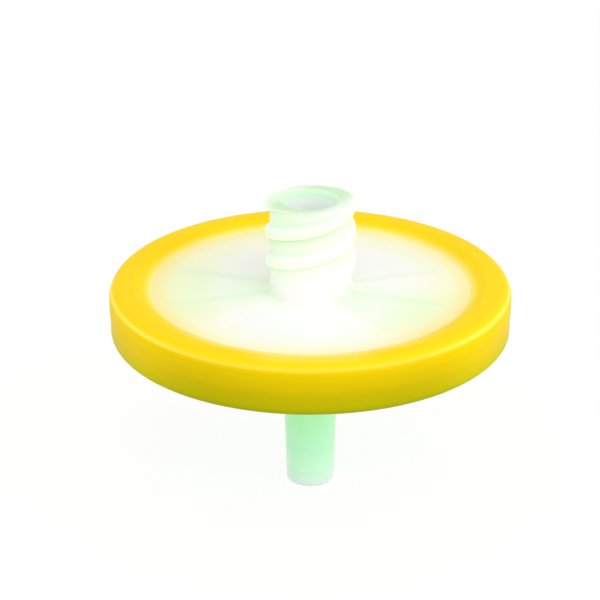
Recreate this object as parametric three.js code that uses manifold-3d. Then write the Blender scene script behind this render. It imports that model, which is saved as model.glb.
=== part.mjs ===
// A 25 mm class syringe filter: two polypropylene housing shells with a membrane pinched between them,
// bound together by a moulded-on colour band. The inlet is a female Luer lock socket with a two-start
// thread, the outlet a plain male Luer cone. Millimetres, +Z up, origin at the centre of the cone's end face.
import * as THREE from "three";
import { mergeVertices } from "three/addons/utils/BufferGeometryUtils.js";
import Module from "manifold-3d";

// Facets round a turned surface, straight steps in each half of a fillet's arc, and how far the foot of a rib
// or a ring runs into the plate that it stands on.
const turnFacets = 60;
const arcSteps = 2;
const footDepth = 0.2;

// Colour band moulded round the edge.
const bandRadius = 16.5;
const bandCrownRadius = 14.4;
const bandWindowRadius = 13.1;
const bandWindowEdge = 0.12;
const bandLip = 0.6;
const bandTopFillet = 1.0;
const bandBottomFillet = 0.5;
const bandShoulder = 1.9;
const bandShoulderSlope = 0.9;
const bandStep = 0.07;
const bandWall = 1.7;

// Housing shells.
const plateThickness = 1.05;
const moldFit = 0.02;
const membraneRadius = 12.5;
const membraneThickness = 0.15;
const membraneFit = 0.1;
const pinchWidth = 0.9;

// Inlet chamber: radial ribs that spread the flow, under the inlet plate.
const chamberHeight = 0.45;
const ribCount = 10;
const ribPhase = 17.5;
const ribWidth = 0.8;
const ribHeight = 0.3;
const ribInnerRadius = 2.6;
const ribEdgeGap = 0.3;

// Inlet neck: female Luer socket, 6 % taper on the diameter.
const luerTaper = 0.06;
const neckHeight = 7.75;
const neckRimRadius = 3.28;
const neckDraft = 0.01;
const neckFootFillet = 0.7;
const socketMouthRadius = 2.15;
const socketDepth = 7.5;
const socketChamfer = 0.25;
const throatRadius = 1.5;

// Two-start lock thread on the neck.
const threadStarts = 2;
const threadLead = 5.0;
const threadStartAngle = 18;
const threadCrestRadius = 3.7;
const threadCrestWidth = 0.65;
const threadUpperFlank = 0.4;
const threadLowerFlank = 0.35;
const threadFootGap = 0.9;
const threadRunOut = 42;
const threadRoot = 0.35;
const threadLeadIn = 0.12;

// Outlet chamber: broken rings that carry the membrane and drain to the centre.
const supportHeight = 0.4;
const supportRings = 5;
const supportRingWidth = 0.7;
const supportPitch = 2.0;
const supportFirstRadius = 3.4;
const supportFacets = 40;
const channelWidth = 0.9;
const seatWidth = 1.0;
const drainRadius = 2.1;
const drainDepth = 0.6;

// Outlet hub and male Luer cone.
const tipLength = 8.0;
const tipRadius = 1.975;
const tipFillet = 0.2;
const tipBoreRadius = 1.15;
const boreDraft = 0.007;
const hubLength = 6.4;
const hubShoulderRadius = 3.05;
const hubShoulderFillet = 0.3;
const hubDraft = 0.06;
const hubFootFillet = 0.6;

// Heights of the stack, worked up from the end of the outlet cone.
const outletFace = tipLength + hubLength;
const outletFloor = outletFace + plateThickness;
const membraneSeat = outletFloor + supportHeight;
const membraneTop = membraneSeat + membraneThickness;
const inletCeiling = membraneTop + chamberHeight;
const inletFace = inletCeiling + plateThickness;
const rimHeight = inletFace + neckHeight;
const bandBottom = outletFace - bandLip;
const bandTop = inletFace + bandLip;

// Radii that follow from the band and the membrane.
const bandSeatRadius = bandRadius - bandWall;
const shellRadius = bandSeatRadius - moldFit;
const pinchRadius = membraneRadius - pinchWidth;
const membranePocket = membraneRadius + membraneFit;
const seatRadius = membraneRadius - seatWidth;

const wasm = await Module();
wasm.setup();

// A mesh geometry as a solid that can be joined and cut.
function solid(geometry) {
  const shell = geometry.clone();
  shell.deleteAttribute("normal");
  shell.deleteAttribute("uv");
  const merged = mergeVertices(shell, 1e-4);
  return new wasm.Manifold(
    new wasm.Mesh({
      numProp: 3,
      vertProperties: merged.attributes.position.array,
      triVerts: new Uint32Array(merged.index.array),
    }),
  );
}

// A joined and cut solid as a mesh geometry again.
function geometryOf(body) {
  const mesh = body.getMesh();
  const geometry = new THREE.BufferGeometry();
  geometry.setAttribute("position", new THREE.BufferAttribute(mesh.vertProperties, 3));
  geometry.setIndex(new THREE.BufferAttribute(mesh.triVerts, 1));
  geometry.computeVertexNormals();
  return geometry;
}

// A closed outline of [radius, height, fillet] corners, with each fillet drawn as a true arc.
function outline(corners) {
  const path = new THREE.Path();
  corners.forEach(([r, z, fillet = 0], i) => {
    const corner = new THREE.Vector2(r, z);
    const [pr, pz] = corners.at(i - 1);
    const [nr, nz] = corners[(i + 1) % corners.length];
    const back = new THREE.Vector2(pr, pz).sub(corner).normalize();
    const ahead = new THREE.Vector2(nr, nz).sub(corner).normalize();
    const half = Math.acos(THREE.MathUtils.clamp(back.dot(ahead), -1, 1)) / 2;
    const reach = fillet ? fillet / Math.tan(half) : 0;
    const start = corner.clone().addScaledVector(back, reach);
    if (i === 0) path.moveTo(start.x, start.y);
    else path.lineTo(start.x, start.y);
    if (!fillet) return;
    const centre = back.clone().add(ahead).setLength(fillet / Math.sin(half)).add(corner);
    const end = corner.clone().addScaledVector(ahead, reach);
    const from = Math.atan2(start.y - centre.y, start.x - centre.x);
    const to = Math.atan2(end.y - centre.y, end.x - centre.x);
    path.absarc(centre.x, centre.y, fillet, from, to, back.cross(ahead) > 0);
  });
  path.closePath();
  return path;
}

// A closed outline turned round the Z axis.
function turned(corners, facets = turnFacets) {
  return new THREE.LatheGeometry(outline(corners).getPoints(arcSteps), facets).rotateX(Math.PI / 2);
}

// A box from radius inner to outer at each of the ribs' angles, standing on height floor.
function spokes(inner, outer, width, floor, height) {
  return Array.from({ length: ribCount }, (_, i) => {
    const angle = THREE.MathUtils.degToRad(ribPhase + (i * 360) / ribCount);
    const box = new THREE.BoxGeometry(outer - inner, width, height);
    return solid(box.translate((inner + outer) / 2, 0, floor + height / 2).rotateZ(angle));
  });
}

// Radius of the neck's wall between its threads, which widens towards the plate.
function neckRadius(z) {
  return neckRimRadius + (rimHeight - z) * neckDraft;
}

// One right-hand thread ridge as a swept trapezoid. Its foot stands inside the neck's wall, and its lower end
// sinks into that wall over the run-out.
function threadRidge(startAngle) {
  const above = threadCrestWidth / 2 + threadLowerFlank + threadRoot;
  const below = neckHeight - threadFootGap;
  const stepAngle = 360 / turnFacets;
  const steps = Math.round(((above + below) / threadLead) * turnFacets);
  const positions = [];
  const triangles = [];
  for (let i = 0; i <= steps; i++) {
    const turn = i * stepAngle - Math.ceil((above / threadLead) * turnFacets) * stepAngle;
    const angle = THREE.MathUtils.degToRad(startAngle - turn);
    const z = rimHeight - (turn / 360) * threadLead;
    const root = neckRadius(z) - threadRoot;
    const height = threadCrestRadius - root;
    const full = Math.min(1, ((steps - i) * stepAngle) / threadRunOut);
    const rise = THREE.MathUtils.lerp(threadRoot / 2, height, full);
    const spread = height / (height - threadRoot);
    const section = [
      [root, -threadCrestWidth / 2 - threadLowerFlank * spread],
      [root + rise, -threadCrestWidth / 2],
      [root + rise, threadCrestWidth / 2],
      [root, threadCrestWidth / 2 + threadUpperFlank * spread],
    ];
    section.forEach(([r, dz]) => positions.push(r * Math.cos(angle), r * Math.sin(angle), z + dz));
  }
  const corners = 4;
  for (let i = 0; i < steps; i++) {
    for (let j = 0; j < corners; j++) {
      const a = i * corners + j;
      const b = i * corners + ((j + 1) % corners);
      triangles.push(a, b, b + corners, a, b + corners, a + corners);
    }
  }
  const last = steps * corners;
  triangles.push(0, 3, 2, 0, 2, 1, last, last + 1, last + 2, last, last + 2, last + 3);
  const geometry = new THREE.BufferGeometry();
  geometry.setAttribute("position", new THREE.Float32BufferAttribute(positions, 3));
  geometry.setIndex(triangles);
  return solid(geometry);
}

// The thread ridges, cut level with the rim and chamfered there.
function lockThread() {
  const envelope = turned([
    [socketMouthRadius + threadRoot, inletFace],
    [threadCrestRadius + threadRoot, inletFace],
    [threadCrestRadius + threadRoot, rimHeight - threadLeadIn - threadRoot],
    [threadCrestRadius - threadLeadIn, rimHeight],
    [socketMouthRadius + threadRoot, rimHeight],
  ]);
  const ridges = Array.from({ length: threadStarts }, (_, i) => {
    return threadRidge(threadStartAngle + (i * 360) / threadStarts);
  });
  return ridges.reduce((all, ridge) => all.add(ridge)).intersect(solid(envelope));
}

// Upper shell: plate, pinch rim, flow ribs, neck with its Luer socket, and lock thread.
function inletHousing() {
  const socketFloorRadius = socketMouthRadius - (socketDepth * luerTaper) / 2;
  const shell = turned([
    [shellRadius, membraneTop],
    [shellRadius, inletFace],
    [neckRadius(inletFace), inletFace, neckFootFillet],
    [neckRimRadius, rimHeight],
    [socketMouthRadius + socketChamfer, rimHeight],
    [socketMouthRadius, rimHeight - socketChamfer],
    [socketFloorRadius, rimHeight - socketDepth],
    [throatRadius, rimHeight - socketDepth],
    [throatRadius, inletCeiling],
    [pinchRadius, inletCeiling],
    [pinchRadius, membraneTop],
  ]);
  const ribOuterRadius = pinchRadius - ribEdgeGap;
  const ribFloor = inletCeiling - ribHeight;
  const ribs = spokes(ribInnerRadius, ribOuterRadius, ribWidth, ribFloor, ribHeight + footDepth);
  return ribs.reduce((body, rib) => body.add(rib), solid(shell).add(lockThread()));
}

// Lower shell: plate, membrane seat, broken support rings, hub and Luer cone with the bore through them.
function outletHousing() {
  const coneFootRadius = tipRadius + (tipLength * luerTaper) / 2;
  const boreTopRadius = tipBoreRadius - (outletFloor - drainDepth) * boreDraft;
  const shell = turned([
    [tipBoreRadius, 0],
    [tipRadius, 0, tipFillet],
    [coneFootRadius, tipLength],
    [hubShoulderRadius, tipLength, hubShoulderFillet],
    [hubShoulderRadius + hubLength * hubDraft, outletFace, hubFootFillet],
    [shellRadius, outletFace],
    [shellRadius, membraneTop],
    [membranePocket, membraneTop],
    [membranePocket, membraneSeat],
    [seatRadius, membraneSeat],
    [seatRadius, outletFloor],
    [drainRadius, outletFloor],
    [boreTopRadius, outletFloor - drainDepth],
  ]);
  const rings = Array.from({ length: supportRings }, (_, i) => {
    const inner = supportFirstRadius + i * supportPitch;
    const outer = inner + supportRingWidth;
    return solid(
      turned(
        [
          [inner, outletFloor - footDepth],
          [outer, outletFloor - footDepth],
          [outer, membraneSeat],
          [inner, membraneSeat],
        ],
        supportFacets,
      ),
    );
  });
  const channels = spokes(drainRadius, seatRadius, channelWidth, outletFloor, supportHeight + footDepth);
  const wholeRings = rings.reduce((all, ring) => all.add(ring));
  const support = channels.reduce((left, channel) => left.subtract(channel), wholeRings);
  return solid(shell).add(support);
}

// Filter disc, lying on the seat and the support rings with its edge pinched by the inlet shell.
function membrane() {
  const disc = new THREE.CylinderGeometry(membraneRadius, membraneRadius, membraneThickness, turnFacets);
  return disc.rotateX(Math.PI / 2).translate(0, 0, (membraneSeat + membraneTop) / 2);
}

// Band of C section round both shells. Its face slopes down to the window, and its shoulder stands a little
// proud of the skirt below it.
function colourBand() {
  return turned([
    [bandWindowRadius, bandBottom + bandLip - bandWindowEdge],
    [bandCrownRadius, bandBottom],
    [bandRadius - bandStep, bandBottom, bandBottomFillet],
    [bandRadius - bandStep, bandTop - bandShoulder - bandShoulderSlope],
    [bandRadius, bandTop - bandShoulder],
    [bandRadius, bandTop, bandTopFillet],
    [bandCrownRadius, bandTop],
    [bandWindowRadius, inletFace + bandWindowEdge],
    [bandWindowRadius, inletFace],
    [bandSeatRadius, inletFace],
    [bandSeatRadius, outletFace],
    [bandWindowRadius, outletFace],
  ]);
}

const naturalPolypropylene = new THREE.MeshStandardMaterial({ color: 0xe4f5dc, roughness: 0.35 });
const yellowPolypropylene = new THREE.MeshStandardMaterial({ color: 0xfedc1a, roughness: 0.4 });
const membraneWhite = new THREE.MeshStandardMaterial({ color: 0xf4f4ee, roughness: 0.9 });

function piece(name, geometry, material) {
  const mesh = new THREE.Mesh(geometry, material);
  mesh.name = name;
  return mesh;
}

const syringeFilter = new THREE.Group();
syringeFilter.add(
  piece("inlet_housing", geometryOf(inletHousing()), naturalPolypropylene),
  piece("outlet_housing", geometryOf(outletHousing()), naturalPolypropylene),
  piece("membrane", membrane(), membraneWhite),
  piece("colour_band", colourBand(), yellowPolypropylene),
);

export default syringeFilter;
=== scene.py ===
# Looks for a 25 mm class syringe filter: mint natural polypropylene shells, a yellow band moulded
# round them and a membrane between. Metres, +Z up, the same frame as the solids.
import math

import bmesh
import bpy
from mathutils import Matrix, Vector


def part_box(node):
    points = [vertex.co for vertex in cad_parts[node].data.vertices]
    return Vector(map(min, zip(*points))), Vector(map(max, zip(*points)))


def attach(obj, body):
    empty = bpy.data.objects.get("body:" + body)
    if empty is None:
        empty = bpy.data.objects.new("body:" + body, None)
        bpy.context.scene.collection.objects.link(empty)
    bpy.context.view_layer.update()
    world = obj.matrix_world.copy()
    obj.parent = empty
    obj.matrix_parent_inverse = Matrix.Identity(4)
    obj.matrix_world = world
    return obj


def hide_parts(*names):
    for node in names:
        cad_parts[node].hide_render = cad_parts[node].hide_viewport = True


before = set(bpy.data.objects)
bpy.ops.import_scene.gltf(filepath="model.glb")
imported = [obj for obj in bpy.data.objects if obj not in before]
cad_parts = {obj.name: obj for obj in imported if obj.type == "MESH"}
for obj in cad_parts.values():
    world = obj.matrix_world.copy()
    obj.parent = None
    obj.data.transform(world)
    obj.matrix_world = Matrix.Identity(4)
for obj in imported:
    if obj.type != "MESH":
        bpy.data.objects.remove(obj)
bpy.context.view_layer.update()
mm = 0.001
close = 1e-3  # mm; places nearer than this count as one

bandLow, bandHigh = (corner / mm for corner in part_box("colour_band"))
inletLow, inletHigh = (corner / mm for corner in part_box("inlet_housing"))
outletLow, outletHigh = (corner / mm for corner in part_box("outlet_housing"))
discLow, discHigh = (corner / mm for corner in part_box("membrane"))


def deselectAll():
    if bpy.context.object and bpy.context.object.mode != "OBJECT":
        bpy.ops.object.mode_set(mode="OBJECT")
    bpy.ops.object.select_all(action="DESELECT")


def selectVerts(piece, test):
    bpy.ops.mesh.select_mode(type="VERT")
    bpy.ops.mesh.select_all(action="DESELECT")
    mesh = bmesh.from_edit_mesh(piece.data)
    for vert in mesh.verts:
        vert.select = bool(test(vert.co / mm))
    mesh.select_flush(True)
    bmesh.update_edit_mesh(piece.data)


def drawOutline(name, corners):
    # a closed outline through its corners, from one point that is extruded along them; a corner is
    # its radius and height, with its rounding and the steps in that
    deselectAll()
    bpy.ops.mesh.primitive_plane_add(size=mm, location=(corners[0][0] * mm, 0, corners[0][1] * mm))
    piece = bpy.context.object
    piece.name = piece.data.name = name
    bpy.ops.object.transform_apply(location=True)
    bpy.ops.object.mode_set(mode="EDIT")
    bpy.ops.mesh.merge(type="CENTER")
    for here, there in zip(corners, corners[1:]):
        step = ((there[0] - here[0]) * mm, 0, (there[1] - here[1]) * mm)
        bpy.ops.mesh.extrude_vertices_move(TRANSFORM_OT_translate={"value": step})

    def at(co, corner):
        return abs(co.x - corner[0]) < close and abs(co.z - corner[1]) < close

    selectVerts(piece, lambda co: at(co, corners[0]) or at(co, corners[-1]))
    bpy.ops.mesh.edge_face_add()
    for i, corner in enumerate(corners):
        if len(corner) < 3:
            continue
        last, following = corners[i - 1], corners[(i + 1) % len(corners)]
        turn = math.atan2(last[1] - corner[1], last[0] - corner[0])
        turn -= math.atan2(following[1] - corner[1], following[0] - corner[0])
        half = abs(math.remainder(turn, 2 * math.pi)) / 2
        selectVerts(piece, lambda co: at(co, corner))
        cut = corner[2] * mm / math.tan(half)
        bpy.ops.mesh.bevel(offset=cut, segments=corner[3], affect="VERTICES")
    return piece


def cutWall(piece, low, high, rows):
    # extra rows along the straight wall between two points of the outline
    ends = (low, high)
    selectVerts(piece, lambda co: any(math.dist((co.x, co.z), end) < 2 * close for end in ends))
    bpy.ops.mesh.subdivide(number_cuts=rows)


def spinOutline(piece, steps):
    bpy.ops.mesh.select_all(action="SELECT")
    bpy.ops.mesh.spin(steps=steps, angle=2 * math.pi, center=(0, 0, 0), axis=(0, 0, 1))
    bpy.ops.mesh.select_all(action="SELECT")
    bpy.ops.mesh.remove_doubles(threshold=close * mm)
    bpy.ops.mesh.normals_make_consistent(inside=False)
    bpy.ops.object.mode_set(mode="OBJECT")
    return piece


def copyAround(count, phase):
    # in edit mode: the whole mesh, turned to its first place and copied evenly round the axis
    middle, step = (0, 0, 0), 2 * math.pi / count
    bpy.ops.mesh.select_all(action="SELECT")
    bpy.ops.transform.rotate(value=-math.radians(phase), orient_axis="Z", center_override=middle)
    for _ in range(count - 1):
        bpy.ops.mesh.duplicate()
        bpy.ops.transform.rotate(value=step, orient_axis="Z", center_override=middle)


def combine(piece, tool, operation):
    deselectAll()
    bpy.context.view_layer.objects.active = piece
    piece.select_set(True)
    bpy.ops.object.modifier_add(type="BOOLEAN")
    joint = piece.modifiers[-1]
    joint.object = tool
    joint.operation = operation
    joint.solver = "EXACT"
    bpy.ops.object.modifier_apply(modifier=joint.name)
    bpy.data.objects.remove(tool)


def finishPiece(piece, node, material, smoothAngle=34):
    deselectAll()
    bpy.context.view_layer.objects.active = piece
    piece.select_set(True)
    bpy.ops.object.shade_smooth_by_angle(angle=math.radians(smoothAngle))
    piece.data.materials.clear()
    piece.data.materials.append(material)
    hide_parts(node)
    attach(piece, "root")
    print("finished", piece.name, len(piece.data.polygons), "faces")


def linear(code):
    # sRGB hex to linear colour
    parts = [int(code[i : i + 2], 16) / 255 for i in (1, 3, 5)]
    return [p / 12.92 if p <= 0.04045 else ((p + 0.055) / 1.055) ** 2.4 for p in parts] + [1]


def addNode(tree, kind, *values, output=0, **settings):
    # a node with its settings; its inputs are linked or set in their order, or by name
    node = tree.nodes.new("ShaderNode" + kind)
    for key, value in settings.items():
        setattr(node, key, value)
    named = values[0].items() if values and isinstance(values[0], dict) else enumerate(values)
    for key, value in named:
        if isinstance(value, bpy.types.NodeSocket):
            tree.links.new(value, node.inputs[key])
        else:
            node.inputs[key].default_value = value
    return node.outputs[output] if node.outputs else None


def newMaterial(name):
    material = bpy.data.materials.new(name)
    material.use_nodes = True
    material.node_tree.nodes.clear()
    return material, material.node_tree


def placeInMm(tree):
    # where a point is on the object in mm, how far from the axis, and its azimuth in degrees
    place = addNode(tree, "TexCoord", output="Object")
    vector = addNode(tree, "VectorMath", {0: place, 3: 1 / mm}, operation="SCALE")
    x, y, z = addNode(tree, "SeparateXYZ", vector).node.outputs
    flat = addNode(tree, "CombineXYZ", x, y)
    radius = addNode(tree, "VectorMath", flat, output="Value", operation="LENGTH")
    angle = addNode(tree, "Math", y, x, operation="ARCTAN2")
    azimuth = addNode(tree, "Math", angle, 180 / math.pi, operation="MULTIPLY")
    return {"vector": vector, "x": x, "y": y, "z": z, "radius": radius, "azimuth": azimuth}


def awayFrom(tree, value, middle, spacing):
    # how far a value is from the nearest of a row of evenly spaced ones
    off = addNode(tree, "Math", value, middle, operation="SUBTRACT")
    off = addNode(tree, "Math", off, spacing / 2, -spacing / 2, operation="WRAP")
    return addNode(tree, "Math", off, operation="ABSOLUTE")


def awayFromSpokes(tree, at):
    # how far in mm a point is from the nearest of the spokes that the ribs and channels follow
    turned = awayFrom(tree, at["azimuth"], inlet["ribPhase"], 360 / inlet["ribs"])
    turned = addNode(tree, "Math", turned, math.pi / 180, operation="MULTIPLY")
    return addNode(tree, "Math", turned, at["radius"], operation="MULTIPLY")


def colorAlong(tree, distance, stops):
    # a colour that changes along a distance, with its stops at real sizes in mm
    low, high = stops[0][0], stops[-1][0]
    blend = addNode(tree, "ValToRGB", addNode(tree, "MapRange", distance, low, high))
    ramp = blend.node.color_ramp
    ramp.interpolation = "EASE"
    while len(ramp.elements) < len(stops):
        ramp.elements.new(0.5)
    for element, (place, color) in zip(ramp.elements, stops):
        element.position = (place - low) / (high - low)
        element.color = linear(color)
    return blend


def paintOver(tree, base, paint, *zones, strength=1.0):
    # paint laid over a base colour; a zone is a value, where its paint starts and where it is full
    share = strength
    for value, start, full in zones:
        shown = addNode(tree, "MapRange", value, start, full, interpolation_type="SMOOTHSTEP")
        share = addNode(tree, "Math", shown, share, operation="MULTIPLY")
    return addNode(tree, "Mix", {0: share, 6: base, 7: paint}, output=2, data_type="RGBA")


def mouldedSkin(tree, at, skin):
    # the faint waviness of a polished mould: its roughness between two values, and a low bump
    grain = {"Vector": at["vector"], "Scale": 1 / skin["grain"], "Detail": 3.0}
    noise = addNode(tree, "TexNoise", grain)
    roughness = addNode(tree, "MapRange", noise, 0.0, 1.0, *skin["roughness"])
    bump = addNode(tree, "Bump", {"Height": noise, "Strength": 1.0, "Distance": skin["depth"] * mm})
    return {"Roughness": roughness, "Normal": bump}


band = {
    "crownRadius": 14.4,
    "windowRadius": 13.1,
    "windowEdge": 0.04,
    "lip": 0.6,
    "topFillet": 1.0,
    "bottomFillet": 0.5,
    "shoulder": 1.9,
    "shoulderSlope": 0.9,
    "shoulderRound": 3.0,
    "crownRound": 0.8,
    "edgeRound": 0.02,
    "step": 0.07,
    "wall": 1.7,
    "turnSteps": 240,
}


def makeBand(material):
    outer, top, bottom = bandHigh.x, bandHigh.z, bandLow.z
    skirt = outer - band["step"]
    plateTop, plateBottom = top - band["lip"], bottom + band["lip"]
    seat = outer - band["wall"]
    corners = [
        (band["windowRadius"], plateBottom - band["windowEdge"], band["edgeRound"], 2),
        (band["crownRadius"], bottom, band["crownRound"], 5),
        (skirt, bottom, band["bottomFillet"], 8),
        (skirt, top - band["shoulder"] - band["shoulderSlope"], band["shoulderRound"], 3),
        (outer, top - band["shoulder"], band["shoulderRound"], 3),
        (outer, top, band["topFillet"], 14),
        (band["crownRadius"], top, band["crownRound"], 6),
        (band["windowRadius"], plateTop + band["windowEdge"], band["edgeRound"], 2),
        (band["windowRadius"], plateTop),
        (seat, plateTop),
        (seat, plateBottom),
        (band["windowRadius"], plateBottom),
    ]
    piece = drawOutline("yellowBand", corners)
    spinOutline(piece, band["turnSteps"])
    finishPiece(piece, "colour_band", material)


inlet = {
    "plate": 1.05,
    "neckRimRadius": 3.28,
    "neckDraft": 0.01,
    "footFillet": 0.7,
    "mouthRadius": 2.15,
    "socketDepth": 7.5,
    "taper": 0.06,
    "chamfer": 0.25,
    "rimRound": 0.1,
    "mouthRound": 0.06,
    "floorRound": 0.2,
    "throatRadius": 1.5,
    "throatRound": 0.05,
    "chamber": 0.45,
    "pinchRadius": 11.6,
    "ribs": 10,
    "ribPhase": 17.5,
    "ribWidth": 0.8,
    "ribHeight": 0.3,
    "ribInner": 2.6,
    "ribOuter": 11.3,
    "ribRound": 0.06,
    "ribSunk": 0.2,  # how far a rib runs up into the plate
    "wallRows": 150,
    "turnSteps": 240,
}

thread = {
    "starts": 2,
    "lead": 5.0,
    "startAngle": 18,
    "crestRadius": 3.7,
    "crestWidth": 0.65,
    "upperFlank": 0.4,
    "lowerFlank": 0.35,
    "footGap": 0.9,
    "runOut": 42,
    "leadIn": 0.12,
    "footClear": 0.05,  # rows this near the plate are left as they are
    "wallDepth": 0.12,  # and so are points that lie this far inside the wall
}


def ridgeHeight(azimuth, z, wall, rim, neckHeight):
    # how far the lock thread stands out of the neck's wall there
    tallest = 0
    lastTurn = (neckHeight - thread["footGap"]) / thread["lead"] * 360
    spacing = 360 / thread["starts"]
    turn = (thread["startAngle"] - azimuth) % spacing - spacing
    while turn <= lastTurn:
        rise = z - (rim - turn / 360 * thread["lead"])
        flank = thread["upperFlank"] if rise > 0 else thread["lowerFlank"]
        across = (thread["crestWidth"] / 2 + flank - abs(rise)) / flank
        if across > 0:
            across = min(1, across)
            runOut = min(1, (lastTurn - turn) / thread["runOut"])
            smooth = across * across * (3 - 2 * across) * runOut * runOut * (3 - 2 * runOut)
            tallest = max(tallest, smooth * (thread["crestRadius"] - wall))
        turn += spacing
    return tallest


def raiseThread(piece, rim, neckFoot):
    # no operator gives a ridge that runs out into a drafted wall, so the wall's own rows are moved
    height = rim - neckFoot
    for vert in piece.data.vertices:
        x, y, z = vert.co / mm
        radius = math.hypot(x, y)
        wall = inlet["neckRimRadius"] + (rim - z) * inlet["neckDraft"]
        onWall = wall - thread["wallDepth"] <= radius <= wall + inlet["footFillet"]
        if z < neckFoot + thread["footClear"] or not onWall:
            continue
        rise = ridgeHeight(math.degrees(math.atan2(y, x)), z, wall, rim, height)
        limit = thread["crestRadius"] - thread["leadIn"] + rim - z - wall
        rise = max(0, min(rise, limit))
        grow = (radius + rise) / radius
        vert.co.x *= grow
        vert.co.y *= grow


def makeRibs(plateBottom):
    deselectAll()
    length = inlet["ribOuter"] - inlet["ribInner"]
    height, sunk = inlet["ribHeight"], inlet["ribSunk"]
    bpy.ops.mesh.primitive_cube_add(size=mm, location=((inlet["ribInner"] + length / 2) * mm, 0, 0))
    ribs = bpy.context.object
    bpy.ops.object.mode_set(mode="EDIT")
    bpy.ops.mesh.select_all(action="SELECT")
    bpy.ops.transform.resize(value=(length, inlet["ribWidth"], height + sunk))
    bpy.ops.transform.translate(value=(0, 0, (plateBottom + (sunk - height) / 2) * mm))
    bpy.ops.mesh.bevel(offset=inlet["ribRound"] * mm, segments=2, affect="EDGES")
    bpy.ops.object.mode_set(mode="OBJECT")
    bpy.ops.object.transform_apply(location=True)
    bpy.ops.object.mode_set(mode="EDIT")
    copyAround(inlet["ribs"], inlet["ribPhase"])
    bpy.ops.object.mode_set(mode="OBJECT")
    return ribs


def makeInlet(material):
    rim, bottom, outer = inletHigh.z, inletLow.z, inletHigh.x
    ceiling = bottom + inlet["chamber"]
    face = ceiling + inlet["plate"]
    footRadius = inlet["neckRimRadius"] + (rim - face) * inlet["neckDraft"]
    socketFloor = rim - inlet["socketDepth"]
    socketFloorRadius = inlet["mouthRadius"] - inlet["socketDepth"] * inlet["taper"] / 2
    corners = [
        (outer, bottom),
        (outer, face),
        (footRadius, face, inlet["footFillet"], 8),
        (inlet["neckRimRadius"], rim, inlet["rimRound"], 4),
        (inlet["mouthRadius"] + inlet["chamfer"], rim, inlet["mouthRound"], 3),
        (inlet["mouthRadius"], rim - inlet["chamfer"], inlet["mouthRound"], 3),
        (socketFloorRadius, socketFloor, inlet["floorRound"], 3),
        (inlet["throatRadius"], socketFloor, inlet["throatRound"], 2),
        (inlet["throatRadius"], ceiling, inlet["floorRound"], 3),
        (inlet["pinchRadius"], ceiling),
        (inlet["pinchRadius"], bottom),
    ]
    piece = drawOutline("upperShell", corners)
    # the two ends of the neck's straight wall are the points of the outline that lie on it
    wallEnds = []
    for vert in bmesh.from_edit_mesh(piece.data).verts:
        x, _, z = vert.co / mm
        wall = inlet["neckRimRadius"] + (rim - z) * inlet["neckDraft"]
        if abs(x - wall) < 2 * close and face < z < rim:
            wallEnds.append((x, z))
    wallEnds.sort(key=lambda end: end[1])
    cutWall(piece, wallEnds[0], wallEnds[-1], inlet["wallRows"])
    spinOutline(piece, inlet["turnSteps"])
    raiseThread(piece, rim, face)
    combine(piece, makeRibs(ceiling), "UNION")
    finishPiece(piece, "inlet_housing", material)


outlet = {
    "plate": 1.05,
    "tipLength": 8.0,
    "tipRadius": 1.975,
    "taper": 0.06,
    "tipFillet": 0.2,
    "boreRadius": 1.15,
    "boreRound": 0.08,
    "boreDraft": 0.007,
    "hubLength": 6.4,
    "hubRadius": 3.05,
    "hubFillet": 0.3,
    "hubDraft": 0.06,
    "hubFoot": 0.6,
    "coneFoot": 0.12,
    "pocketRadius": 12.6,
    "seatRadius": 11.5,
    "supportHeight": 0.4,
    "rings": 5,
    "ringWidth": 0.7,
    "ringPitch": 2.0,
    "firstRing": 3.4,
    "ringRound": 0.05,
    "ringSteps": 90,
    "ringSunk": 0.2,  # how far the rings run down into the plate
    "channelWidth": 0.9,
    "drainRadius": 2.1,
    "drainDepth": 0.6,
    "turnSteps": 180,
}


def makeSupport(floor, seat):
    # rings that carry the membrane, broken by straight channels that drain to the middle
    sunk, edge = outlet["ringSunk"], (outlet["ringRound"], 2)
    root = floor - sunk
    support = None
    for i in range(outlet["rings"]):
        inner = outlet["firstRing"] + i * outlet["ringPitch"]
        rim = inner + outlet["ringWidth"]
        corners = [(inner, root), (rim, root), (rim, seat, *edge), (inner, seat, *edge)]
        ring = spinOutline(drawOutline("ring", corners), outlet["ringSteps"])
        if support:
            deselectAll()
            ring.select_set(True)
            support.select_set(True)
            bpy.context.view_layer.objects.active = support
            bpy.ops.object.join()
        else:
            support = ring
    deselectAll()
    length = outlet["seatRadius"] - outlet["drainRadius"]
    middle = (outlet["drainRadius"] + length / 2, 0, floor + outlet["supportHeight"] / 2 + sunk)
    bpy.ops.mesh.primitive_cube_add(size=mm, location=[side * mm for side in middle])
    channels = bpy.context.object
    bpy.ops.object.mode_set(mode="EDIT")
    bpy.ops.mesh.select_all(action="SELECT")
    size = (length, outlet["channelWidth"], outlet["supportHeight"] + 2 * sunk)
    bpy.ops.transform.resize(value=size)
    bpy.ops.object.mode_set(mode="OBJECT")
    bpy.ops.object.transform_apply(location=True)
    bpy.ops.object.mode_set(mode="EDIT")
    copyAround(inlet["ribs"], inlet["ribPhase"])
    bpy.ops.object.mode_set(mode="OBJECT")
    combine(support, channels, "DIFFERENCE")
    return support


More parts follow.
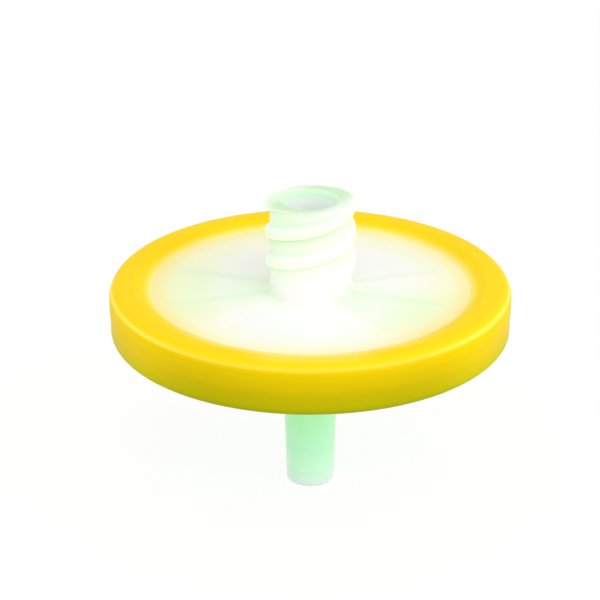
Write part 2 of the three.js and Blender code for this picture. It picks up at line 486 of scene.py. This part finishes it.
def makeOutlet(material):
    tip, top, outer = outletLow.z, outletHigh.z, outletHigh.x
    face = tip + outlet["tipLength"] + outlet["hubLength"]
    floor = face + outlet["plate"]
    seat = floor + outlet["supportHeight"]
    shoulder = tip + outlet["tipLength"]
    coneRadius = outlet["tipRadius"] + outlet["tipLength"] * outlet["taper"] / 2
    hubFootRadius = outlet["hubRadius"] + outlet["hubLength"] * outlet["hubDraft"]
    boreTop = outlet["boreRadius"] - (floor - outlet["drainDepth"]) * outlet["boreDraft"]
    corners = [
        (outlet["boreRadius"], tip, outlet["boreRound"], 3),
        (outlet["tipRadius"], tip, outlet["tipFillet"], 8),
        (coneRadius, shoulder, outlet["coneFoot"], 3),
        (outlet["hubRadius"], shoulder, outlet["hubFillet"], 6),
        (hubFootRadius, face, outlet["hubFoot"], 8),
        (outer, face),
        (outer, top),
        (outlet["pocketRadius"], top),
        (outlet["pocketRadius"], seat),
        (outlet["seatRadius"], seat),
        (outlet["seatRadius"], floor),
        (outlet["drainRadius"], floor),
        (boreTop, floor - outlet["drainDepth"]),
    ]
    piece = spinOutline(drawOutline("lowerShell", corners), outlet["turnSteps"])
    combine(piece, makeSupport(floor, seat), "UNION")
    finishPiece(piece, "outlet_housing", material)


membrane = {
    "pinchWidth": 0.9,
    "pinchDepth": 0.03,
    "turnSteps": 120,
    "lowColor": "#EFEFE8",
    "highColor": "#FAFAF5",
    "roughness": 0.9,
    "ior": 1.4,
    "specular": 0.2,
    "poreSpacing": 0.12,
    "poreDepth": 0.01,
}


def makeMembrane(material):
    deselectAll()
    thickness = discHigh.z - discLow.z
    bpy.ops.mesh.primitive_cylinder_add(
        vertices=membrane["turnSteps"],
        radius=discHigh.x * mm,
        depth=thickness * mm,
        location=(0, 0, (discLow.z + thickness / 2) * mm),
    )
    piece = bpy.context.object
    piece.name = piece.data.name = "filterDisc"
    bpy.ops.object.transform_apply(location=True)
    bpy.ops.object.mode_set(mode="EDIT")
    face = discHigh.z - close
    selectVerts(piece, lambda co: co.z > face)
    bpy.ops.mesh.inset(thickness=membrane["pinchWidth"] * mm)
    # the pinched edge is pressed a little thinner than the free middle
    edge = discHigh.x - 10 * close
    selectVerts(piece, lambda co: co.z > face and math.hypot(co.x, co.y) > edge)
    bpy.ops.transform.translate(value=(0, 0, -membrane["pinchDepth"] * mm))
    bpy.ops.object.mode_set(mode="OBJECT")
    finishPiece(piece, "membrane", material)


polypropyleneIor = 1.49

yellow = {
    # up the wall, in mm from the band's underside: painted shade, olive low down and golden higher,
    # with a painted highlight as a pale line at the edge
    "wall": [
        (0.0, "#B2B600"), (0.3, "#BBBA00"), (1.2, "#D5BF00"), (2.2, "#E2C200"), (3.3, "#EBC800"),
        (3.6, "#F0CC00"), (3.86, "#FFE858"), (4.1, "#FCD414"), (4.3, "#FCD418"),
    ],
    # the same painted shade, deeper on the side that is turned from the light
    "front": [
        (0.0, "#919900"), (0.8, "#B0A700"), (1.5, "#BAAA00"), (2.4, "#CEB300"), (3.3, "#D8BC00"),
        (3.6, "#DFC000"), (3.86, "#FFD43C"), (4.1, "#FCD414"), (4.3, "#FCD418"),
    ],
    # over the top, in mm from the axis: paler where the band thins out on the plate, and there
    # painted light from the plate shows through it
    "top": [
        (13.1, "#FFEE9C"), (13.4, "#FEE25C"), (13.8, "#FCD622"), (14.2, "#FCD410"),
        (16.5, "#FCD410"),
    ],
    # painted light: towards the front the plate's light fills more of the band, most of all in the
    # middle
    "glow": [
        (13.1, "#FFEE9C"), (13.7, "#FEE274"), (14.35, "#FEE068"), (14.75, "#FDD82C"),
        (15.1, "#FCD410"),
    ],
    "middle": [
        (13.1, "#FFEE9C"), (14.35, "#FFE98E"), (14.75, "#FEE066"), (15.1, "#FDDC46"),
        (15.9, "#FCD930"), (16.5, "#FCD92C"),
    ],
    # where one of these gives way to the next: in mm, or in degrees of azimuth off the front
    "turnedAway": (-9.0, -15.0),
    "glowSpan": (56, 26),
    "middleSpan": (22, 10),
    "topEnds": (15.6, 16.0),
    "skin": {"grain": 1.6, "depth": 0.004, "roughness": (0.29, 0.52)},
    "specular": 0.03,
    "scatterShare": 0.15,
    "scatterTint": (1.0, 0.6, 0.1),
    "scatterReach": 0.6,
}


def yellowPolypropylene():
    # pigmented polypropylene from a polished mould: an even warm yellow with a soft gloss, under
    # painted shade and highlights
    material, tree = newMaterial("pigmentedPolypropyleneMoulded")
    at = placeInMm(tree)
    height = addNode(tree, "Math", at["z"], bandLow.z, operation="SUBTRACT")
    # painted shade up the wall and on the side turned from the light, and a painted highlight along
    # the edge
    wall = colorAlong(tree, height, yellow["wall"])
    front = colorAlong(tree, height, yellow["front"])
    side = paintOver(tree, wall, front, (at["y"], *yellow["turnedAway"]))
    fromFront = awayFrom(tree, at["azimuth"], 270, 360)
    # the top, with painted light from the plate near the window and more of it towards the front
    top = colorAlong(tree, at["radius"], yellow["top"])
    glow = colorAlong(tree, at["radius"], yellow["glow"])
    top = paintOver(tree, top, glow, (fromFront, *yellow["glowSpan"]))
    middle = colorAlong(tree, at["radius"], yellow["middle"])
    top = paintOver(tree, top, middle, (fromFront, *yellow["middleSpan"]))
    color = paintOver(tree, top, side, (at["radius"], *yellow["topEnds"]))
    inputs = {
        "Base Color": color,
        "IOR": polypropyleneIor,
        "Specular IOR Level": yellow["specular"],
        "Subsurface Weight": yellow["scatterShare"],
        "Subsurface Radius": yellow["scatterTint"],
        "Subsurface Scale": yellow["scatterReach"] * mm,
    }
    shell = addNode(tree, "BsdfPrincipled", inputs | mouldedSkin(tree, at, yellow["skin"]))
    addNode(tree, "OutputMaterial", shell)
    return material


mint = {
    # over the plate, in mm from the axis: near white on the film, and creamy with painted light
    # where the band's yellow glows in
    "plate": [
        (3.4, "#F4FFEC"), (6.0, "#FAFFF2"), (8.5, "#FFFEF0"), (11.0, "#FFF8DA"), (13.1, "#FFEFA8"),
    ],
    # painted light: the same, paler towards the front
    "frontPlate": [
        (3.4, "#F8FFF2"), (6.0, "#FEFFFA"), (8.5, "#FFFEF6"), (11.0, "#FFFBE6"), (13.1, "#FFF2C0"),
    ],
    # painted shade: greener sectors of the plate
    "shadedSectorPlate": [
        (3.4, "#E8FFE0"), (7.0, "#E8FFE0"), (9.5, "#E4F9CC"), (11.0, "#E8F3C4"), (13.1, "#F8E796"),
    ],
    # the azimuth of the middle of each such part, where it starts, where it is full, its strength
    "shadedSectors": [(185, 44, 20, 0.85), (330, 48, 5, 0.85), (128, 44, 14, 0.3)],
    "frontSpan": (48, 24),
    # the faint ribs: across one and along it in mm, then in degrees off the front and off the back
    "rib": "#D2F2C8",
    "ribShown": 0.35,
    "ribSpans": [(0.7, 0.1), (12.4, 9.0), (20, 60), (25, 70)],
    # across the lock thread, in mm up from the middle of a ridge: painted shade under each ridge
    "ridge": [
        (-1.25, "#E8F9E4"), (-0.85, "#E2F5DE"), (-0.6, "#D4EDD0"), (-0.4, "#E8F9E4"),
        (0.5, "#EAFAE8"), (1.25, "#E8F9E4"),
    ],
    # down the neck, the rim and the socket, in mm from the rim
    "neck": [(0.5, "#E8F9E4"), (4.5, "#EEFCEC"), (7.75, "#F8FFF6")],
    # painted shade near the rim, that tones down the light on the thread there
    "neckTop": "#DAF0D8",
    "neckTopShown": 0.5,
    # painted light: near white lower down the socket, for the light that comes through its thin
    # walls
    "socket": [
        (0.0, "#CEECC4"), (0.4, "#DAF7DE"), (0.8, "#F0FEF2"), (1.3, "#F8FFF9"), (3.0, "#ECFFF0"),
        (7.75, "#CCFAD4"),
    ],
    # across the rim's face, in mm from the left behind to the right in front: painted light and
    # shade, a pale spot at the far left behind, shade through the middle, lighter to the right in
    # front
    "rimFace": [
        (-3.4, "#ECF8EC"), (-2.3, "#DAECD2"), (-1.2, "#C6E0BA"), (1.4, "#C8E2C2"),
        (3.4, "#E4F2E0"),
    ],
    "rimAcross": (0.8, -0.6, 0.0),
    # where one of these gives way to the next, in mm down from the rim or out from the axis
    "ridgeSpan": (6.85, 1.5),
    "neckTopSpan": (2.6, 0.5),
    "rimSpan": (0.3, 0.05),
    "plateSpan": (6.95, 7.55),
    "socketSpan": (2.45, 2.3),
    "darkSpan": (12.2, 13.0),
    # up the outlet, in mm from its tip: the walls get thicker and the mint deeper, and painted
    # shade deepens it further under the plate, while painted light keeps the tip palest where it
    # meets the floor
    "outlet": [
        (0.0, "#E7FFF4"), (0.6, "#DAFFE8"), (1.3, "#D2FEE0"), (3.7, "#C0F2D1"), (6.1, "#B9F0C0"),
        (14.4, "#B2ECB6"),
    ],
    # the faint support rings: across one, off a channel, and along the plate, all in mm
    "support": "#D2FCD2",
    "supportShown": 0.5,
    "supportSpans": [(0.75, 0.25), (0.3, 0.8), (12.4, 12.0), (3.3, 4.3)],
    # painted light: the band's yellow glow on the plate's underside next to it
    "bandGlow": "#D6F49C",
    "bandGlowSpan": (12.2, 13.3),
    "skin": {"grain": 2.2, "depth": 0.004, "roughness": (0.25, 0.5)},
    "specular": 0.4,
    "upperTint": (1.0, 1.0, 1.0),
    "upperReach": 1.0,
    "lowerTint": (0.8, 1.0, 0.8),
    "lowerReach": 0.8,
}


def milkyShell(tree, at, color, weight, tint, reach):
    # what both shells share: light sinks in and comes out again nearby, under a fine gloss
    inputs = {
        "Base Color": color,
        "IOR": polypropyleneIor,
        "Specular IOR Level": mint["specular"],
        "Subsurface Weight": weight,
        "Subsurface Radius": tint,
        "Subsurface Scale": reach * mm,
    }
    return addNode(tree, "BsdfPrincipled", inputs | mouldedSkin(tree, at, mint["skin"]))


def mintUpper():
    # natural polypropylene with a mint tint, thinly moulded: milky and near white, mint on the rim
    material, tree = newMaterial("mintPolypropyleneUpperMoulded")
    at = placeInMm(tree)
    radius, azimuth = at["radius"], at["azimuth"]

    front = awayFrom(tree, azimuth, 270, 360)
    back = awayFrom(tree, azimuth, 90, 360)
    # the plate, with painted light from the band near its edge
    plate = colorAlong(tree, radius, mint["plate"])
    # painted light: the plate paler towards the front
    bright = colorAlong(tree, radius, mint["frontPlate"])
    plate = paintOver(tree, plate, bright, (front, *mint["frontSpan"]))
    # painted shade: greener sectors of the plate, each at its own azimuth
    sectorShade = colorAlong(tree, radius, mint["shadedSectorPlate"])
    for middle, start, full, strength in mint["shadedSectors"]:
        part = (awayFrom(tree, azimuth, middle, 360), start, full)
        plate = paintOver(tree, plate, sectorShade, part, strength=strength)
    # the ribs under the plate show as faint lines on its two sides
    values = (awayFromSpokes(tree, at), radius, front, back)
    zones = [(value, *span) for value, span in zip(values, mint["ribSpans"])]
    plate = paintOver(tree, plate, linear(mint["rib"]), *zones, strength=mint["ribShown"])

    # the thread's ridges wind down the neck, with painted shade along their undersides
    drop = addNode(tree, "Math", inletHigh.z, at["z"], operation="SUBTRACT")
    turned = addNode(tree, "Math", thread["startAngle"], azimuth, operation="SUBTRACT")
    rise = addNode(tree, "Math", turned, thread["lead"] / 360, operation="MULTIPLY")
    rise = addNode(tree, "Math", rise, drop, operation="SUBTRACT")
    half = thread["lead"] / thread["starts"] / 2
    rise = addNode(tree, "Math", rise, half, -half, operation="WRAP")
    neck = colorAlong(tree, drop, mint["neck"])
    ridge = colorAlong(tree, rise, mint["ridge"])
    neck = paintOver(tree, neck, ridge, (drop, *mint["ridgeSpan"]))
    # painted shade near the rim
    neckTop = (drop, *mint["neckTopSpan"])
    neck = paintOver(tree, neck, linear(mint["neckTop"]), neckTop, strength=mint["neckTopShown"])
    # painted light and shade across the rim's face
    aim = {0: at["vector"], 1: mint["rimAcross"]}
    across = addNode(tree, "VectorMath", aim, output="Value", operation="DOT_PRODUCT")
    rimFace = colorAlong(tree, across, mint["rimFace"])
    neck = paintOver(tree, neck, rimFace, (drop, *mint["rimSpan"]))

    color = paintOver(tree, neck, plate, (drop, *mint["plateSpan"]))
    # the socket, mint at the mouth, with painted light lower down
    socket = colorAlong(tree, drop, mint["socket"])
    color = paintOver(tree, color, socket, (radius, *mint["socketSpan"]))
    # no light sinks in at the plate's edge, where the dark under the band would swallow it
    weight = addNode(tree, "MapRange", radius, *mint["darkSpan"], 1.0, 0.0)
    shell = milkyShell(tree, at, color, weight, mint["upperTint"], mint["upperReach"])
    addNode(tree, "OutputMaterial", shell)
    return material


def mintLower():
    # the same polypropylene in thicker walls: clearly mint, palest at the cone's thin end, where
    # painted light lifts it
    material, tree = newMaterial("mintPolypropyleneLowerMoulded")
    at = placeInMm(tree)
    radius = at["radius"]
    # mint deepening up the outlet, with painted shade under the plate and painted light at the tip
    color = colorAlong(tree, at["z"], mint["outlet"])
    # the support rings inside, broken by their channels, show faintly through the plate's underside
    ringMiddle = outlet["firstRing"] + outlet["ringWidth"] / 2
    fromRing = awayFrom(tree, radius, ringMiddle, outlet["ringPitch"])
    values = (fromRing, awayFromSpokes(tree, at), radius, radius)
    zones = [(value, *span) for value, span in zip(values, mint["supportSpans"])]
    color = paintOver(tree, color, linear(mint["support"]), *zones, strength=mint["supportShown"])
    # painted light where the band's yellow glows onto the underside
    color = paintOver(tree, color, linear(mint["bandGlow"]), (radius, *mint["bandGlowSpan"]))
    shell = milkyShell(tree, at, color, 1.0, mint["lowerTint"], mint["lowerReach"])
    addNode(tree, "OutputMaterial", shell)
    return material


def membraneFilm():
    # cast porous membrane: dead matt white with a fine tooth; its pores are too fine to show, so
    # they are drawn as coarse as 0.12 mm apart
    material, tree = newMaterial("porousMembraneCast")
    at = placeInMm(tree)
    pores = {"Vector": at["vector"], "Scale": 1 / membrane["poreSpacing"], "Detail": 3.0}
    noise = addNode(tree, "TexNoise", pores)
    depth = membrane["poreDepth"] * mm
    low, high = linear(membrane["lowColor"]), linear(membrane["highColor"])
    inputs = {
        "Base Color": paintOver(tree, low, high, (noise, 0.0, 1.0)),
        "Roughness": membrane["roughness"],
        "IOR": membrane["ior"],
        "Specular IOR Level": membrane["specular"],
        "Normal": addNode(tree, "Bump", {"Height": noise, "Strength": 1.0, "Distance": depth}),
    }
    addNode(tree, "OutputMaterial", addNode(tree, "BsdfPrincipled", inputs))
    return material


makeBand(yellowPolypropylene())
makeInlet(mintUpper())
makeOutlet(mintLower())
makeMembrane(membraneFilm())
print("pieces made")

view = {
    "elevation": 23.43,
    "distance": 200.0,
    "lens": 146.2,
    "sensor": 36,
    "shiftX": -0.01717,
    "shiftY": -0.033,
    "clip": (0.005, 20),  # metres
}


def makeCamera():
    deselectAll()
    tilt = math.radians(view["elevation"])
    reach = view["distance"] * mm
    place = (0, -reach * math.cos(tilt), bandHigh.z * mm + reach * math.sin(tilt))
    bpy.ops.object.camera_add(location=place, rotation=(math.pi / 2 - tilt, 0, 0))
    camera = bpy.context.object
    camera.name = "benchCamera"
    camera.data.sensor_width = view["sensor"]
    camera.data.lens = view["lens"]
    camera.data.shift_x = view["shiftX"]
    camera.data.shift_y = view["shiftY"]
    camera.data.clip_start, camera.data.clip_end = view["clip"]
    bpy.context.scene.camera = camera


light = {
    "worldLevel": 0.88,
    # size and distance in mm, elevation and azimuth in degrees, brightness beside plain white
    "keyBox": (260.0, 260.0, 45, 22, 0.79),
    "rightBox": (160.0, 320.0, 14, 60, 2.65),
    "leftBox": (160.0, 320.0, 14, -60, 1.1),
    "floorRadius": 3000.0,
    "floorColor": "#FAFAFA",
    "shownFloor": "#6A6A6A",
    "floorLift": 0.86,
}


def makeLamp(name, size, distance, elevation, azimuth, level):
    # a square softbox that faces the object
    deselectAll()
    tilt, side = math.radians(elevation), math.radians(azimuth)
    reach = distance * mm
    flat = reach * math.cos(tilt)
    place = (flat * math.sin(side), -flat * math.cos(side), bandLow.z * mm + reach * math.sin(tilt))
    bpy.ops.object.light_add(type="AREA", location=place, rotation=(math.pi / 2 - tilt, 0, side))
    lamp = bpy.context.object
    lamp.name = name
    lamp.data.shape = "SQUARE"
    lamp.data.size = size * mm
    lamp.data.energy = level * math.pi * (size * mm) ** 2


def seenRays(tree):
    # 1 where the camera, a reflection or a look through something meets it
    rays = addNode(tree, "LightPath").node.outputs
    seen = addNode(tree, "Math", rays["Is Camera Ray"], rays["Is Glossy Ray"], operation="MAXIMUM")
    return addNode(tree, "Math", seen, rays["Is Transmission Ray"], operation="MAXIMUM")


def makeWorld():
    world = bpy.data.worlds.new("whiteSweep")
    bpy.context.scene.world = world
    world.use_nodes = True
    tree = world.node_tree
    tree.nodes.clear()
    lit = addNode(tree, "Background", linear("#FFFFFF"), light["worldLevel"])
    shown = addNode(tree, "Background", linear("#FFFFFF"), 1.0)
    addNode(tree, "OutputWorld", addNode(tree, "MixShader", seenRays(tree), lit, shown))


def makeFloor():
    deselectAll()
    bpy.ops.mesh.primitive_circle_add(
        vertices=96, radius=light["floorRadius"] * mm, fill_type="NGON", location=(0, 0, 0)
    )
    floor = bpy.context.object
    floor.name = "paleFloor"
    material, tree = newMaterial("mattWhiteCard")
    card = addNode(tree, "BsdfDiffuse", linear(light["floorColor"]))
    shaded = addNode(tree, "BsdfDiffuse", linear(light["shownFloor"]))
    lift = addNode(tree, "Emission", linear("#FFFFFF"), light["floorLift"])
    shown = addNode(tree, "AddShader", shaded, lift)
    addNode(tree, "OutputMaterial", addNode(tree, "MixShader", seenRays(tree), card, shown))
    floor.data.materials.append(material)


makeCamera()
makeWorld()
for box in ("keyBox", "rightBox", "leftBox"):
    makeLamp(box, *light[box])
makeFloor()
bpy.context.scene.view_settings.view_transform = "Standard"
print("camera, light and floor set")

deselectAll()
